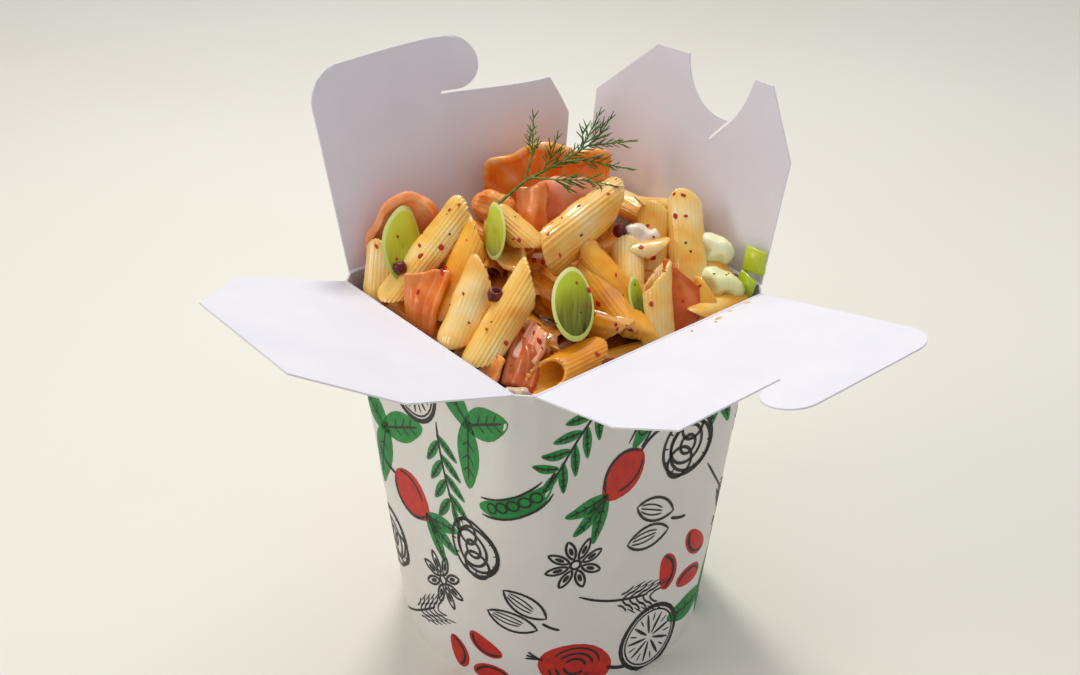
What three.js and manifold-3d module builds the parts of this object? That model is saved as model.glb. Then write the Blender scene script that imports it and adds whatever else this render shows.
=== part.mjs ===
// Paperboard noodle box with its four flaps open, filled with penne, smoked salmon and leek.
// Lengths are in millimetres, angles in degrees, and +Z is up.
// The origin is the centre of the underside of the round base. The front faces -Y.
import * as THREE from "three";
import { ConvexGeometry } from "three/addons/geometries/ConvexGeometry.js";
import { mergeVertices } from "three/addons/utils/BufferGeometryUtils.js";
import Module from "manifold-3d";

// Box
const HEIGHT = 119;
const MOUTH_X = 90;
const MOUTH_Y = 96;
const CORNER_CUT = 4;
const BASE_RADIUS = 50.5;
const BASE_SIDES = 72;
const BOARD = 0.5;
const GAP = 0.3;

// Flaps: how far each crease stands off the rim, and how far each flap is laid back from flat
const CREASE_OFFSET = 0.5;
const LEAN_FRONT = 20.2;
const LEAN_RIGHT = 11.8;
const LEAN_BACK = 80.7;
const LEAN_LEFT = 80;

// Food
const PENNE_RADIUS = 5.4;
const HEAP_STEP = 2.7;
const HEAP_CLIP = 170;
const SALMON = 2.2;
const LEEK = 1.6;
const LEEK_WHITE = 2.2;
const FACING = 50.5; // toppings turned to the front corner

const rad = THREE.MathUtils.degToRad;
const wasm = await Module();
wasm.setup();

const materials = {
  board: new THREE.MeshStandardMaterial({ color: 0xe6e6ee, roughness: 0.7, metalness: 0 }),
  penne: new THREE.MeshStandardMaterial({ color: 0xe3b35c, roughness: 0.45, metalness: 0 }),
  salmon: new THREE.MeshStandardMaterial({ color: 0xe07a48, roughness: 0.4, metalness: 0 }),
  leek: new THREE.MeshStandardMaterial({ color: 0xa9c545, roughness: 0.4, metalness: 0 }),
  leekWhite: new THREE.MeshStandardMaterial({ color: 0xe6ecc0, roughness: 0.35, metalness: 0 }),
};

const box = new THREE.Group();

// Solids from closed geometries, and back again

function toSolid(geometry) {
  const bare = geometry.clone();
  bare.deleteAttribute("normal");
  bare.deleteAttribute("uv");
  const merged = mergeVertices(bare, 1e-4);
  return new wasm.Manifold(
    new wasm.Mesh({
      numProp: 3,
      vertProperties: new Float32Array(merged.attributes.position.array),
      triVerts: new Uint32Array(merged.index.array),
    }),
  );
}

function toGeometry(solid) {
  const mesh = solid.getMesh();
  const geometry = new THREE.BufferGeometry();
  geometry.setAttribute("position", new THREE.BufferAttribute(new Float32Array(mesh.vertProperties), 3));
  geometry.setIndex(new THREE.BufferAttribute(new Uint32Array(mesh.triVerts), 1));
  geometry.computeVertexNormals();
  return geometry;
}

function largestPiece(solid) {
  const pieces = solid.decompose();
  return pieces.reduce((best, piece) => (piece.volume() > best.volume() ? piece : best));
}

// The box form: straight lines from a round base to a rectangular mouth with cut corners

function mouthCorners(inset, z) {
  const x = MOUTH_X / 2 - inset;
  const y = MOUTH_Y / 2 - inset;
  const cut = CORNER_CUT - inset * (2 - Math.SQRT2);
  const quarter = [
    [x, y - cut],
    [x - cut, y],
  ];
  return quarter.flatMap(([a, b]) => [
    new THREE.Vector3(a, b, z),
    new THREE.Vector3(-a, b, z),
    new THREE.Vector3(a, -b, z),
    new THREE.Vector3(-a, -b, z),
  ]);
}

function boxForm(inset, floor) {
  const points = mouthCorners(inset, HEIGHT);
  for (let i = 0; i < BASE_SIDES; i++) {
    const angle = (i / BASE_SIDES) * 2 * Math.PI;
    const radius = BASE_RADIUS - inset;
    points.push(new THREE.Vector3(radius * Math.cos(angle), radius * Math.sin(angle), floor));
  }
  return toSolid(new ConvexGeometry(points));
}

// The room inside the wall, carried straight up past the rim
function boxRoom(inset, floor, ceiling) {
  const above = [...mouthCorners(inset, HEIGHT), ...mouthCorners(inset, ceiling)];
  return boxForm(inset, floor).add(toSolid(new ConvexGeometry(above)));
}

function boxBody() {
  const room = boxRoom(BOARD, BOARD, HEAP_CLIP);
  const mesh = new THREE.Mesh(toGeometry(boxForm(0, 0).subtract(room)), materials.board);
  mesh.name = "box_body";
  return mesh;
}

// Flaps: each outline is drawn with its crease along X and its free edge towards +Y

// One end is cut off slantwise as far as a slit, and a round tongue hooks back over it
function hookFlapOutline() {
  const end = 44;
  const shoulder = 31;
  const slantEnd = 35.5;
  const edge = 45.6;
  const slit = 0.8;
  const slitEnd = 0.5;
  const tongue = 8.2;
  const tongueX = -4.5;
  const corner = 11;
  const side = 46.5;
  const top = edge + slit + 2 * tongue;
  const outline = new THREE.Shape();
  outline.moveTo(-end, 0);
  outline.lineTo(-end, shoulder);
  outline.lineTo(-slantEnd, edge);
  outline.lineTo(slitEnd, edge);
  outline.lineTo(slitEnd, edge + slit);
  outline.absarc(tongueX, top - tongue, tongue, -Math.PI / 2, -1.5 * Math.PI, true);
  outline.absarc(side - corner, top - corner, corner, Math.PI / 2, 0, true);
  outline.lineTo(end, 0);
  return outline;
}

function plainFlapOutline() {
  const end = 41;
  const shoulder = new THREE.Vector2(42.5, 36.5);
  const tip = new THREE.Vector2(22.8, 59);
  const outline = new THREE.Shape();
  outline.moveTo(-end, 0);
  outline.lineTo(-shoulder.x, shoulder.y);
  outline.lineTo(-tip.x, tip.y);
  outline.lineTo(tip.x, tip.y);
  outline.lineTo(shoulder.x, shoulder.y);
  outline.lineTo(end, 0);
  return outline;
}

// A half-moon notch for the tongues takes up half of the free edge, and a slit runs on from it
function notchedFlapOutline() {
  const end = 41;
  const side = 42.3;
  const leftShoulder = 39;
  const rightShoulder = 37.5;
  const edge = 58.8;
  const [edgeStart, edgeEnd] = [-30.5, 17.6];
  const notchStart = -23.5;
  const notch = new THREE.Vector2(-14, 62);
  const radius = 18.1;
  const bottom = new THREE.Vector2(-17.25, 44);
  const bend = new THREE.Vector2(-22, 50);
  const slit = new THREE.Vector2(-9.6, 36.2);
  const slitHalf = 0.25;
  const outline = new THREE.Shape();
  outline.moveTo(-end, 0);
  outline.lineTo(-side, leftShoulder);
  outline.lineTo(edgeStart, edge);
  outline.lineTo(notchStart, edge);
  outline.quadraticCurveTo(bend.x, bend.y, bottom.x, bottom.y);
  outline.lineTo(slit.x - slitHalf, slit.y - slitHalf);
  outline.lineTo(slit.x + slitHalf, slit.y + slitHalf);
  outline.absarc(notch.x, notch.y, radius, rad(-96), rad(-8), false);
  outline.lineTo(edgeEnd, edge);
  outline.lineTo(side, rightShoulder);
  outline.lineTo(end, 0);
  return outline;
}

function flap(name, outline, turn, reach, lean) {
  const settings = { depth: BOARD, bevelEnabled: false, curveSegments: 10 };
  const geometry = new THREE.ExtrudeGeometry(outline, settings);
  geometry.translate(0, 0, -BOARD / 2);
  const mesh = new THREE.Mesh(geometry, materials.board);
  mesh.name = name;
  const crease = new THREE.Group();
  crease.position.set(0, -reach - CREASE_OFFSET, HEIGHT);
  crease.rotation.x = Math.PI - rad(lean);
  crease.add(mesh);
  const side = new THREE.Group();
  side.rotation.z = rad(turn);
  side.add(crease);
  return side;
}

// Toppings

// The pairs of neighbours round the rim of a grid of points, counter-clockwise
function rimOfGrid(columns, rows) {
  const id = (i, j) => j * (columns + 1) + i;
  const rim = [];
  for (let i = 0; i < columns; i++) rim.push(id(i, 0));
  for (let j = 0; j < rows; j++) rim.push(id(columns, j));
  for (let i = columns; i > 0; i--) rim.push(id(i, rows));
  for (let j = rows; j > 0; j--) rim.push(id(0, j));
  return rim.map((a, k) => [a, rim[(k + 1) % rim.length]]);
}

// A closed skin round two grids of points, one behind the other
function skinGeometry(front, back, columns, rows) {
  const index = [];
  const count = front.length;
  const id = (i, j) => j * (columns + 1) + i;
  for (let j = 0; j < rows; j++) {
    for (let i = 0; i < columns; i++) {
      const [a, b, c, d] = [id(i, j), id(i + 1, j), id(i + 1, j + 1), id(i, j + 1)];
      index.push(a, b, c, a, c, d);
      index.push(count + a, count + c, count + b, count + a, count + d, count + c);
    }
  }
  rimOfGrid(columns, rows).forEach(([a, b]) => index.push(a, count + a, count + b, a, count + b, b));
  const geometry = new THREE.BufferGeometry().setFromPoints([...front, ...back]);
  geometry.setIndex(index);
  geometry.computeVertexNormals();
  return geometry;
}

// A thin sheet: surface(u, v) gives its middle, for u and v from 0 to 1
function sheetGeometry(surface, columns, rows, thickness) {
  const step = 1e-3;
  const at = (u, v) => new THREE.Vector3(...surface(u, v));
  const front = [];
  const back = [];
  for (let j = 0; j <= rows; j++) {
    for (let i = 0; i <= columns; i++) {
      const u = i / columns;
      const v = j / rows;
      const along = at(u + step, v).sub(at(u - step, v));
      const across = at(u, v + step).sub(at(u, v - step));
      const normal = along.cross(across).normalize().multiplyScalar(thickness / 2);
      front.push(at(u, v).add(normal));
      back.push(at(u, v).sub(normal));
    }
  }
  return skinGeometry(front, back, columns, rows);
}

// A slice hung between four corners, bulged by a sine and waved across its width
function draped(corners, bulge, wave, waves) {
  const [p, q, r, s] = corners.map((c) => new THREE.Vector3(...c));
  const out = q.clone().sub(p).cross(s.clone().sub(p)).normalize();
  return (u, v) => {
    const low = p.clone().lerp(q, u);
    const high = s.clone().lerp(r, u);
    const lift = bulge * Math.sin(Math.PI * v) * Math.sin(Math.PI * u);
    const ripple = wave * Math.sin(2 * Math.PI * waves * u);
    return low.lerp(high, v).addScaledVector(out, lift + ripple).toArray();
  };
}

// A hood: half a shell that opens towards -Y, with a fluted rim
function hood(halfWidth, height, depth, flutes, fluting) {
  const closing = 0.385;
  return (u, v) => {
    const angle = Math.PI * (1 - u);
    const close = Math.cos(v * Math.PI * closing);
    const flute = 1 + fluting * Math.cos(flutes * angle);
    const x = halfWidth * Math.cos(angle) * close * flute;
    const z = height * Math.sin(angle) * close * flute;
    return [x, depth * Math.sin((v * Math.PI) / 2), z];
  };
}

// A roll: an arc bent round X, narrower at its two ends
function roll(width, radius, from, to) {
  const narrowest = 0.6;
  return (u, v) => {
    const angle = rad(from + (to - from) * v);
    const taper = narrowest + (1 - narrowest) * Math.sin(Math.PI * u);
    return [(u - 0.5) * width, -radius * taper * Math.sin(angle), radius * taper * Math.cos(angle)];
  };
}

// An oval cup: a leek layer cut on the slant, open towards +Z, long along X
function cupGeometry(length, width, depth, wall) {
  const steps = 5;
  const profile = [];
  for (let i = 0; i <= steps; i++) {
    const angle = (i / steps) * (Math.PI / 2);
    profile.push(new THREE.Vector2(Math.sin(angle), -depth * Math.cos(angle)));
  }
  const inner = 1 - (2 * wall) / width;
  for (let i = steps; i >= 0; i--) {
    const angle = (i / steps) * (Math.PI / 2);
    profile.push(new THREE.Vector2(inner * Math.sin(angle), -(depth - wall) * Math.cos(angle)));
  }
  const geometry = new THREE.LatheGeometry(profile, 18);
  geometry.rotateX(Math.PI / 2);
  geometry.scale(length / 2, width / 2, 1);
  return geometry;
}

function topping(name, geometry, material, position = [0, 0, 0], heading = 0, pitch = 0, tilt = 0) {
  const mesh = new THREE.Mesh(geometry, material);
  mesh.name = name;
  mesh.position.set(...position);
  mesh.rotation.set(rad(tilt), rad(pitch), rad(heading), "ZYX");
  return mesh;
}

function salmonPieces() {
  // Corners of each slice, lower left and round to upper left
  const stripCorners = [[-15, -42, 114], [-3, -39, 115], [-10, -28, 129.5], [-18, -39, 129.5]];
  const frontCorners = [[24, -40, 110], [31, -32, 111], [28, -23, 120.5], [21, -25, 121]];
  const bitCorners = [[16.5, -42.3, 111], [24.2, -41.6, 111.5], [23.3, -35.6, 117.5], [17.5, -37.3, 118]];
  const wedgeCorners = [[36, 14.5, 110.5], [39, 27.5, 111], [30, 26, 132], [28.5, 23.5, 132.5]];
  const strip = draped(stripCorners, 1.5, 0.5, 2);
  const front = draped(frontCorners, 1.2, 0, 1);
  const bit = draped(bitCorners, 0.8, 0, 1);
  const wedge = draped(wedgeCorners, 1, 0, 1);
  const sheet = (surface, columns, rows) => sheetGeometry(surface, columns, rows, SALMON);
  return [
    topping("salmon_back_hood", sheet(hood(19, 18, 12, 7, 0.05), 20, 5), materials.salmon,
      [-27.5, 22, 130], FACING),
    topping("salmon_back_fold", sheet(roll(24, 6.5, -20, 170), 8, 8), materials.salmon,
      [-14, 17, 131.5], FACING + 8, 4),
    topping("salmon_back_small", sheet(roll(13, 4.5, -40, 150), 6, 7), materials.salmon,
      [-22, -5, 138], FACING - 30, -8),
    topping("salmon_left", sheet(hood(12.5, 16, 4.5, 5, 0.04), 14, 4), materials.salmon,
      [-37.2, -28.5, 127], FACING + 15.5),
    topping("salmon_strip", sheet(strip, 9, 7), materials.salmon),
    topping("salmon_front", sheet(front, 5, 7), materials.salmon),
    topping("salmon_front_bit", sheet(bit, 4, 4), materials.salmon),
    topping("salmon_wedge", sheet(wedge, 4, 8), materials.salmon),
  ];
}

function leekPieces() {
  const cup = (length, width, depth) => cupGeometry(length, width, depth, LEEK);
  const layer = (width, radius) => sheetGeometry(roll(width, radius, -60, 120), 6, 7, LEEK_WHITE);
  const square = draped([[0, 0, 0], [8, 0, 0], [7, 0, 7], [0, 0, 6]], 1.2, 0, 1);
  const chip = () => sheetGeometry(square, 4, 4, LEEK);
  return [
    topping("leek_left", cup(23, 14, 5), materials.leek, [-29, -35, 130.5], -38, 40),
    topping("leek_middle", cup(25, 14, 7), materials.leek, [24, -13, 126], -41, 28),
    topping("leek_sliver_back", cup(17, 7, 4), materials.leek, [-9.8, -13.6, 136.2], -38, 40, 35),
    topping("leek_sliver_right", cup(12, 6, 4), materials.leek, [28.5, 8, 122], -20, 48, -20),
    topping("leek_pale_upper", layer(9, 4.6), materials.leekWhite, [27, 41, 127], FACING - 20, 10),
    topping("leek_pale_lower", layer(11, 4.8), materials.leekWhite, [33.5, 34.5, 119], FACING - 20, 12),
    topping("leek_green_upper", chip(), materials.leek, [34, 44, 123], 5, 5, -15),
    topping("leek_green_lower", chip(), materials.leek, [35.5, 41.8, 116], 8, 5, -10),
    topping("leek_white_back", layer(11, 4), materials.leekWhite, [13, 25, 132], FACING, 18),
    topping("leek_white_front", layer(8, 3.2), materials.leekWhite, [31, -40, 110.5], FACING + 10),
  ];
}

// The pasta: one heap that fills the box, its top raised by each piece of penne that lies on it

// Upper end x, y, z; heading and fall of the piece from there; its length
const lyingPenne = [
  [-39, -36, 130, -45, 54, 21],
  [-24, -13, 141, -88, 35, 41],
  [-18, -12, 138, -67, 40, 36],
  [-2, -23, 134, -68, 42, 30],
  [11, -14, 135, -79, 37, 38],
  [-1, -15, 131, 153, -8, 24],
  [-17, -9, 139, 15, 25, 20],
  [34, -37, 113.5, 93, -1, 29],
  [3, 25, 144, -85, 18, 39],
  [7, 4, 133, 14, 33, 28],
  [8, 4, 128, -1, 27, 35],
  [10, 21, 131, -40, 32, 30],
  [24, 19, 131, -37, 52, 30],
  [12, 42, 142, -36, 47, 36],
  [8, 34, 139, -46, 50, 30],
  [5, 27, 138, 70, 15, 16],
  [22, 28, 131, -125, 10, 15],
  [34, 33, 124, -60, 62, 24],
  [38, 39, 118, -135, 8, 26],
  [13, 42, 127, -8, 20, 28],
  [-38, 4, 124, 82, 2, 34],
  [-22, 42, 128, 4, 4, 34],
  [-37, -39, 113, 3, 2, 30],
  [38.5, 20, 115.5, 88, 0, 24],
];

// The smooth mound: lowest at the wall, highest in the middle, and higher at the back corner
function mound(x, y) {
  const atWall = 110;
  const domeHeight = 11;
  const riseHeight = 14;
  const [halfX, halfY] = [50, 52];
  const corner = 71;
  const dome = domeHeight * (1 - (x / halfX) ** 2) * (1 - (y / halfY) ** 2);
  const across = THREE.MathUtils.clamp((y - x + corner) / (2 * corner), 0, 1);
  const rise = riseHeight * across;
  return atWall + dome + rise;
}

// Level pieces between the others, spread by the golden angle and kept off the wall
function fillerPenne() {
  const count = 46;
  const golden = 137.5;
  const turn = 71;
  const [sway, swayStep] = [2, 1.7];
  const [reachX, reachY] = [36, 39];
  const [roomX, roomY] = [38, 41];
  const half = 17;
  const sink = 8;
  return Array.from({ length: count }, (_, i) => {
    const spread = Math.sqrt((i + 0.5) / count);
    const angle = rad(i * golden);
    const heading = rad(i * turn);
    const farX = roomX - half * Math.abs(Math.cos(heading));
    const farY = roomY - half * Math.abs(Math.sin(heading));
    const x = THREE.MathUtils.clamp(spread * reachX * Math.cos(angle), -farX, farX);
    const y = THREE.MathUtils.clamp(spread * reachY * Math.sin(angle), -farY, farY);
    const middle = new THREE.Vector3(x, y, mound(x, y) - sink + sway * Math.sin(i * swayStep));
    const way = new THREE.Vector3(half * Math.cos(heading), half * Math.sin(heading), 0);
    return [middle.clone().sub(way), middle.clone().add(way)];
  });
}

function penneSegments() {
  const lying = lyingPenne.map(([x, y, z, heading, fall, length]) => {
    const from = new THREE.Vector3(x, y, z);
    const way = new THREE.Vector3(length - PENNE_RADIUS, 0, 0);
    way.applyEuler(new THREE.Euler(0, rad(fall), rad(heading), "ZYX"));
    return [from, from.clone().add(way)];
  });
  return [...lying, ...fillerPenne()];
}

const segments = penneSegments();

function heapTop(x, y) {
  const sunk = 5;
  let top = mound(x, y) - sunk;
  for (const [from, to] of segments) {
    const dx = to.x - from.x;
    const dy = to.y - from.y;
    const along = THREE.MathUtils.clamp(
      ((x - from.x) * dx + (y - from.y) * dy) / (dx * dx + dy * dy), 0, 1);
    const off = Math.hypot(x - from.x - along * dx, y - from.y - along * dy);
    if (off < PENNE_RADIUS) {
      const middle = THREE.MathUtils.lerp(from.z, to.z, along);
      top = Math.max(top, middle + Math.sqrt(PENNE_RADIUS ** 2 - off ** 2));
    }
  }
  return top;
}

// Points all over a mesh, no further apart than the spacing
function surfacePoints(mesh, spacing) {
  mesh.updateMatrixWorld(true);
  const geometry = mesh.geometry.clone().applyMatrix4(mesh.matrixWorld);
  const place = geometry.attributes.position;
  const corner = (k) => new THREE.Vector3().fromBufferAttribute(place, geometry.index.getX(k));
  const points = [];
  for (let k = 0; k < geometry.index.count; k += 3) {
    const [a, b, c] = [corner(k), corner(k + 1), corner(k + 2)];
    const longest = Math.max(a.distanceTo(b), b.distanceTo(c), c.distanceTo(a));
    const parts = Math.ceil(longest / spacing);
    for (let i = 0; i <= parts; i++) {
      for (let j = 0; j <= parts - i; j++) {
        const middle = a.clone().multiplyScalar((parts - i - j) / parts);
        points.push(middle.addScaledVector(b, i / parts).addScaledVector(c, j / parts));
      }
    }
  }
  return points;
}

// The top of the heap on a grid, pressed down wherever a topping lies on it
function heapGrid(toppings) {
  const columns = Math.ceil(MOUTH_X / HEAP_STEP);
  const rows = Math.ceil(MOUTH_Y / HEAP_STEP);
  const grid = [];
  for (let j = 0; j <= rows; j++) {
    for (let i = 0; i <= columns; i++) {
      const x = (i / columns - 0.5) * MOUTH_X;
      const y = (j / rows - 0.5) * MOUTH_Y;
      grid.push(new THREE.Vector3(x, y, heapTop(x, y)));
    }
  }
  const spacing = 1;
  const press = 1.5 * GAP;
  const cells = (value, size, count) => {
    const cell = (v) => (v / size + 0.5) * count;
    const low = THREE.MathUtils.clamp(Math.floor(cell(value - spacing / 2)), 0, count);
    const high = THREE.MathUtils.clamp(Math.ceil(cell(value + spacing / 2)), 0, count);
    return [low, high];
  };
  for (const point of toppings.flatMap((mesh) => surfacePoints(mesh, spacing))) {
    const [left, right] = cells(point.x, MOUTH_X, columns);
    const [near, far] = cells(point.y, MOUTH_Y, rows);
    for (let j = near; j <= far; j++) {
      for (let i = left; i <= right; i++) {
        const place = grid[j * (columns + 1) + i];
        place.z = Math.min(place.z, point.z - press);
      }
    }
  }
  return { columns, rows, grid };
}

// The heap before the wall trims it: the uneven top, on a block that fills the box below
function heapBlock(toppings) {
  const { columns, rows, grid } = heapGrid(toppings);
  const foot = HEIGHT - 25;
  const overlap = 1;
  const wide = 2 * BASE_RADIUS + overlap;
  const level = grid.map((p) => new THREE.Vector3(p.x, p.y, foot));
  const block = new THREE.BoxGeometry(wide, wide, foot + overlap);
  block.translate(0, 0, (foot + overlap) / 2);
  return toSolid(skinGeometry(grid, level, columns, rows)).add(toSolid(block));
}

function pastaHeap(toppings) {
  const room = boxRoom(BOARD + GAP, BOARD + GAP, HEAP_CLIP);
  const solid = heapBlock(toppings).intersect(room);
  const mesh = new THREE.Mesh(toGeometry(largestPiece(solid)), materials.penne);
  mesh.name = "pasta_heap";
  return mesh;
}

box.add(boxBody());
box.add(flap("flap_front", plainFlapOutline(), 0, MOUTH_Y / 2, LEAN_FRONT));
box.add(flap("flap_right", hookFlapOutline(), 90, MOUTH_X / 2, LEAN_RIGHT));
box.add(flap("flap_back", notchedFlapOutline(), 180, MOUTH_Y / 2, LEAN_BACK));
box.add(flap("flap_left", hookFlapOutline(), 270, MOUTH_X / 2, LEAN_LEFT));

const toppings = [...salmonPieces(), ...leekPieces()];
box.add(...toppings);
box.add(pastaHeap(toppings));

export default box;
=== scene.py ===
"""A round-base noodle box of white printed paperboard, open and heaped with pasta.

The food is penne, smoked salmon, leek, dill and pink pepper. The pieces are modelled in
millimetres and settled into the frame, which is in metres.
"""

import math
import random
from contextlib import contextmanager

import bpy
from mathutils import Matrix, Vector
from mathutils.bvhtree import BVHTree


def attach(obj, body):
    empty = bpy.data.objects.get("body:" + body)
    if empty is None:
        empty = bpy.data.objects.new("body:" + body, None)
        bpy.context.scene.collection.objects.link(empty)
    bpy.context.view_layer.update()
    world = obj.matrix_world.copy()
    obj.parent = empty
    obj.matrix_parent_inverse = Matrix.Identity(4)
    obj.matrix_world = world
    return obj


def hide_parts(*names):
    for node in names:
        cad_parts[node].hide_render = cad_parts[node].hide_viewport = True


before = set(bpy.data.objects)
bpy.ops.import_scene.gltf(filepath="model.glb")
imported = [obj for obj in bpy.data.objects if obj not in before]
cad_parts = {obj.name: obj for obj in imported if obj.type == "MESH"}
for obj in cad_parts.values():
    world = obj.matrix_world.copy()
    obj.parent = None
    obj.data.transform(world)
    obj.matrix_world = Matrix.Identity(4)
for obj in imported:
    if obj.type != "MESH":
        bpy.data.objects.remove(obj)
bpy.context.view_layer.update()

MM = 0.001

# Box, in millimetres
HEIGHT = 119
MOUTH_X = 90
MOUTH_Y = 96
CORNER_CUT = 4
BASE_RADIUS = 50.5
BOARD = 0.5
CREASE_OFFSET = 0.5
WALL_SIDES = 240

# Food, in millimetres
PENNE_RADIUS = 5.4
PENNE_WALL = 1.4
PINCHED_WALL = 4.4
PENNE_OVAL = 0.92
PENNE_CUT = math.radians(46)
SALMON = 2.0
LEEK = 1.5

FOOD_NAMES = ("penne", "smoked_salmon", "cooked_leek")

# Camera: where it aims, from which side, how far off, and its lens on a 36 mm sensor
TARGET = Vector((-2.45, -2.98, 99.7))
AZIMUTH = math.radians(50.5)
ELEVATION = math.radians(30.9)
DISTANCE = 427
FOCAL_PIXELS = 1370
FRAME_WIDTH = 1080
FRAME_HEIGHT = 675
SENSOR = 36

BACK = Vector((
    math.sin(AZIMUTH) * math.cos(ELEVATION),
    -math.cos(AZIMUTH) * math.cos(ELEVATION),
    math.sin(ELEVATION),
))


# Working by hand

def linear(colour):
    """An sRGB hex colour as linear RGBA."""
    parts = [int(colour[i:i + 2], 16) / 255 for i in (1, 3, 5)]
    return [p / 12.92 if p <= 0.04045 else ((p + 0.055) / 1.055) ** 2.4 for p in parts] + [1]


def only(*pieces):
    """Selects these pieces and no others."""
    bpy.ops.object.select_all(action="DESELECT")
    for piece in pieces:
        piece.select_set(True)
    bpy.context.view_layer.objects.active = pieces[0]


@contextmanager
def editing(piece, chosen=None):
    """Edit mode on a piece, with the vertices that pass the test selected, or all of them."""
    only(piece)
    bpy.ops.object.mode_set(mode="EDIT")
    bpy.ops.mesh.select_mode(type="VERT")
    bpy.ops.mesh.select_all(action="SELECT" if chosen is None else "DESELECT")
    if chosen is not None:
        bpy.ops.object.mode_set(mode="OBJECT")
        for vertex in piece.data.vertices:
            vertex.select = chosen(vertex)
        bpy.ops.object.mode_set(mode="EDIT")
    yield
    bpy.ops.object.mode_set(mode="OBJECT")


def fixed(piece, place=None):
    """The piece with its place, turn and scale in its mesh, and its object at the origin."""
    if place is not None:
        piece.matrix_basis = place
    only(piece)
    bpy.ops.object.transform_apply(location=True, rotation=True, scale=True)
    return piece


def started(name):
    """The primitive that was just added, named, with its turn and place in its mesh."""
    piece = bpy.context.object
    piece.name = piece.data.name = name
    return fixed(piece)


def modify(piece, kind, **settings):
    """Adds a modifier with these settings and applies it."""
    only(piece)
    modifier = piece.modifiers.new(kind.title(), kind)
    for name, value in settings.items():
        setattr(modifier, name, value)
    bpy.ops.object.modifier_apply(modifier=modifier.name)


def refined(piece):
    """One round of subdivision, which rounds off what was modelled coarsely."""
    modify(piece, "SUBSURF", levels=1, render_levels=1)


def bend_along(piece, degrees, axis):
    """Bends a piece that lies along X by this angle in all, about another axis."""
    modify(piece, "SIMPLE_DEFORM", deform_method="BEND", deform_axis=axis, angle=math.radians(degrees))


def unevened(piece, texture, depth):
    """Pushes the surface in and out by a cloudy texture, by this many millimetres in all."""
    modify(piece, "DISPLACE", texture=texture, texture_coords="GLOBAL", strength=depth, mid_level=0.5)


def smooth(piece, angle=40):
    """Smooth shading, except where faces meet at more than the angle."""
    only(piece)
    bpy.ops.object.shade_smooth_by_angle(angle=math.radians(angle))


def lay(piece, place, heading=0, fall=0, roll=0, stretch=(1, 1, 1)):
    """Turns a piece about its length, tips it down, turns it to its heading and moves it to its place."""
    turn = (
        Matrix.Rotation(math.radians(heading), 4, "Z")
        @ Matrix.Rotation(math.radians(fall), 4, "Y")
        @ Matrix.Rotation(math.radians(roll), 4, "X")
    )
    return fixed(piece, Matrix.Translation(place) @ turn @ Matrix.Diagonal((*stretch, 1)))


def copied(piece, name):
    """A copy with its own mesh."""
    only(piece)
    bpy.ops.object.duplicate()
    twin = bpy.context.object
    twin.name = twin.data.name = name
    return twin


def joined(pieces, name):
    """The pieces as one mesh."""
    only(*pieces)
    bpy.ops.object.join()
    whole = bpy.context.object
    whole.name = whole.data.name = name
    return whole


def discard(*pieces):
    """Removes patterns once their copies are made."""
    for piece in pieces:
        bpy.data.objects.remove(piece)


def pull(piece, at, by, reach):
    """Drags what lies nearest to a point, and less and less of what is round it, out to a reach."""
    point = Vector(at)
    nearest = min((v.co - point).length for v in piece.data.vertices)
    with editing(piece, lambda v: (v.co - point).length <= nearest + 1e-4):
        bpy.ops.transform.translate(
            value=by, use_proportional_edit=True,
            proportional_edit_falloff="SMOOTH", proportional_size=reach)


def pull_all(piece, pulls, reach):
    """Several pulls with one reach."""
    for at, by in pulls:
        pull(piece, at, by, reach)


def clouds(name, size):
    """A cloudy texture, with lumps about this many millimetres across."""
    texture = bpy.data.textures.new(name, "CLOUDS")
    texture.noise_scale = size
    return texture


def finished(piece, material, body, slot, *nodes):
    """Scales a piece to metres in its mesh, gives it its material, and ties it to the frame."""
    fixed(piece, Matrix.Scale(MM, 4))
    if material is not None:
        piece.data.materials.clear()
        piece.data.materials.append(material)
    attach(piece, body)
    if nodes:
        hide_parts(*nodes)
    return piece


# Materials

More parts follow.
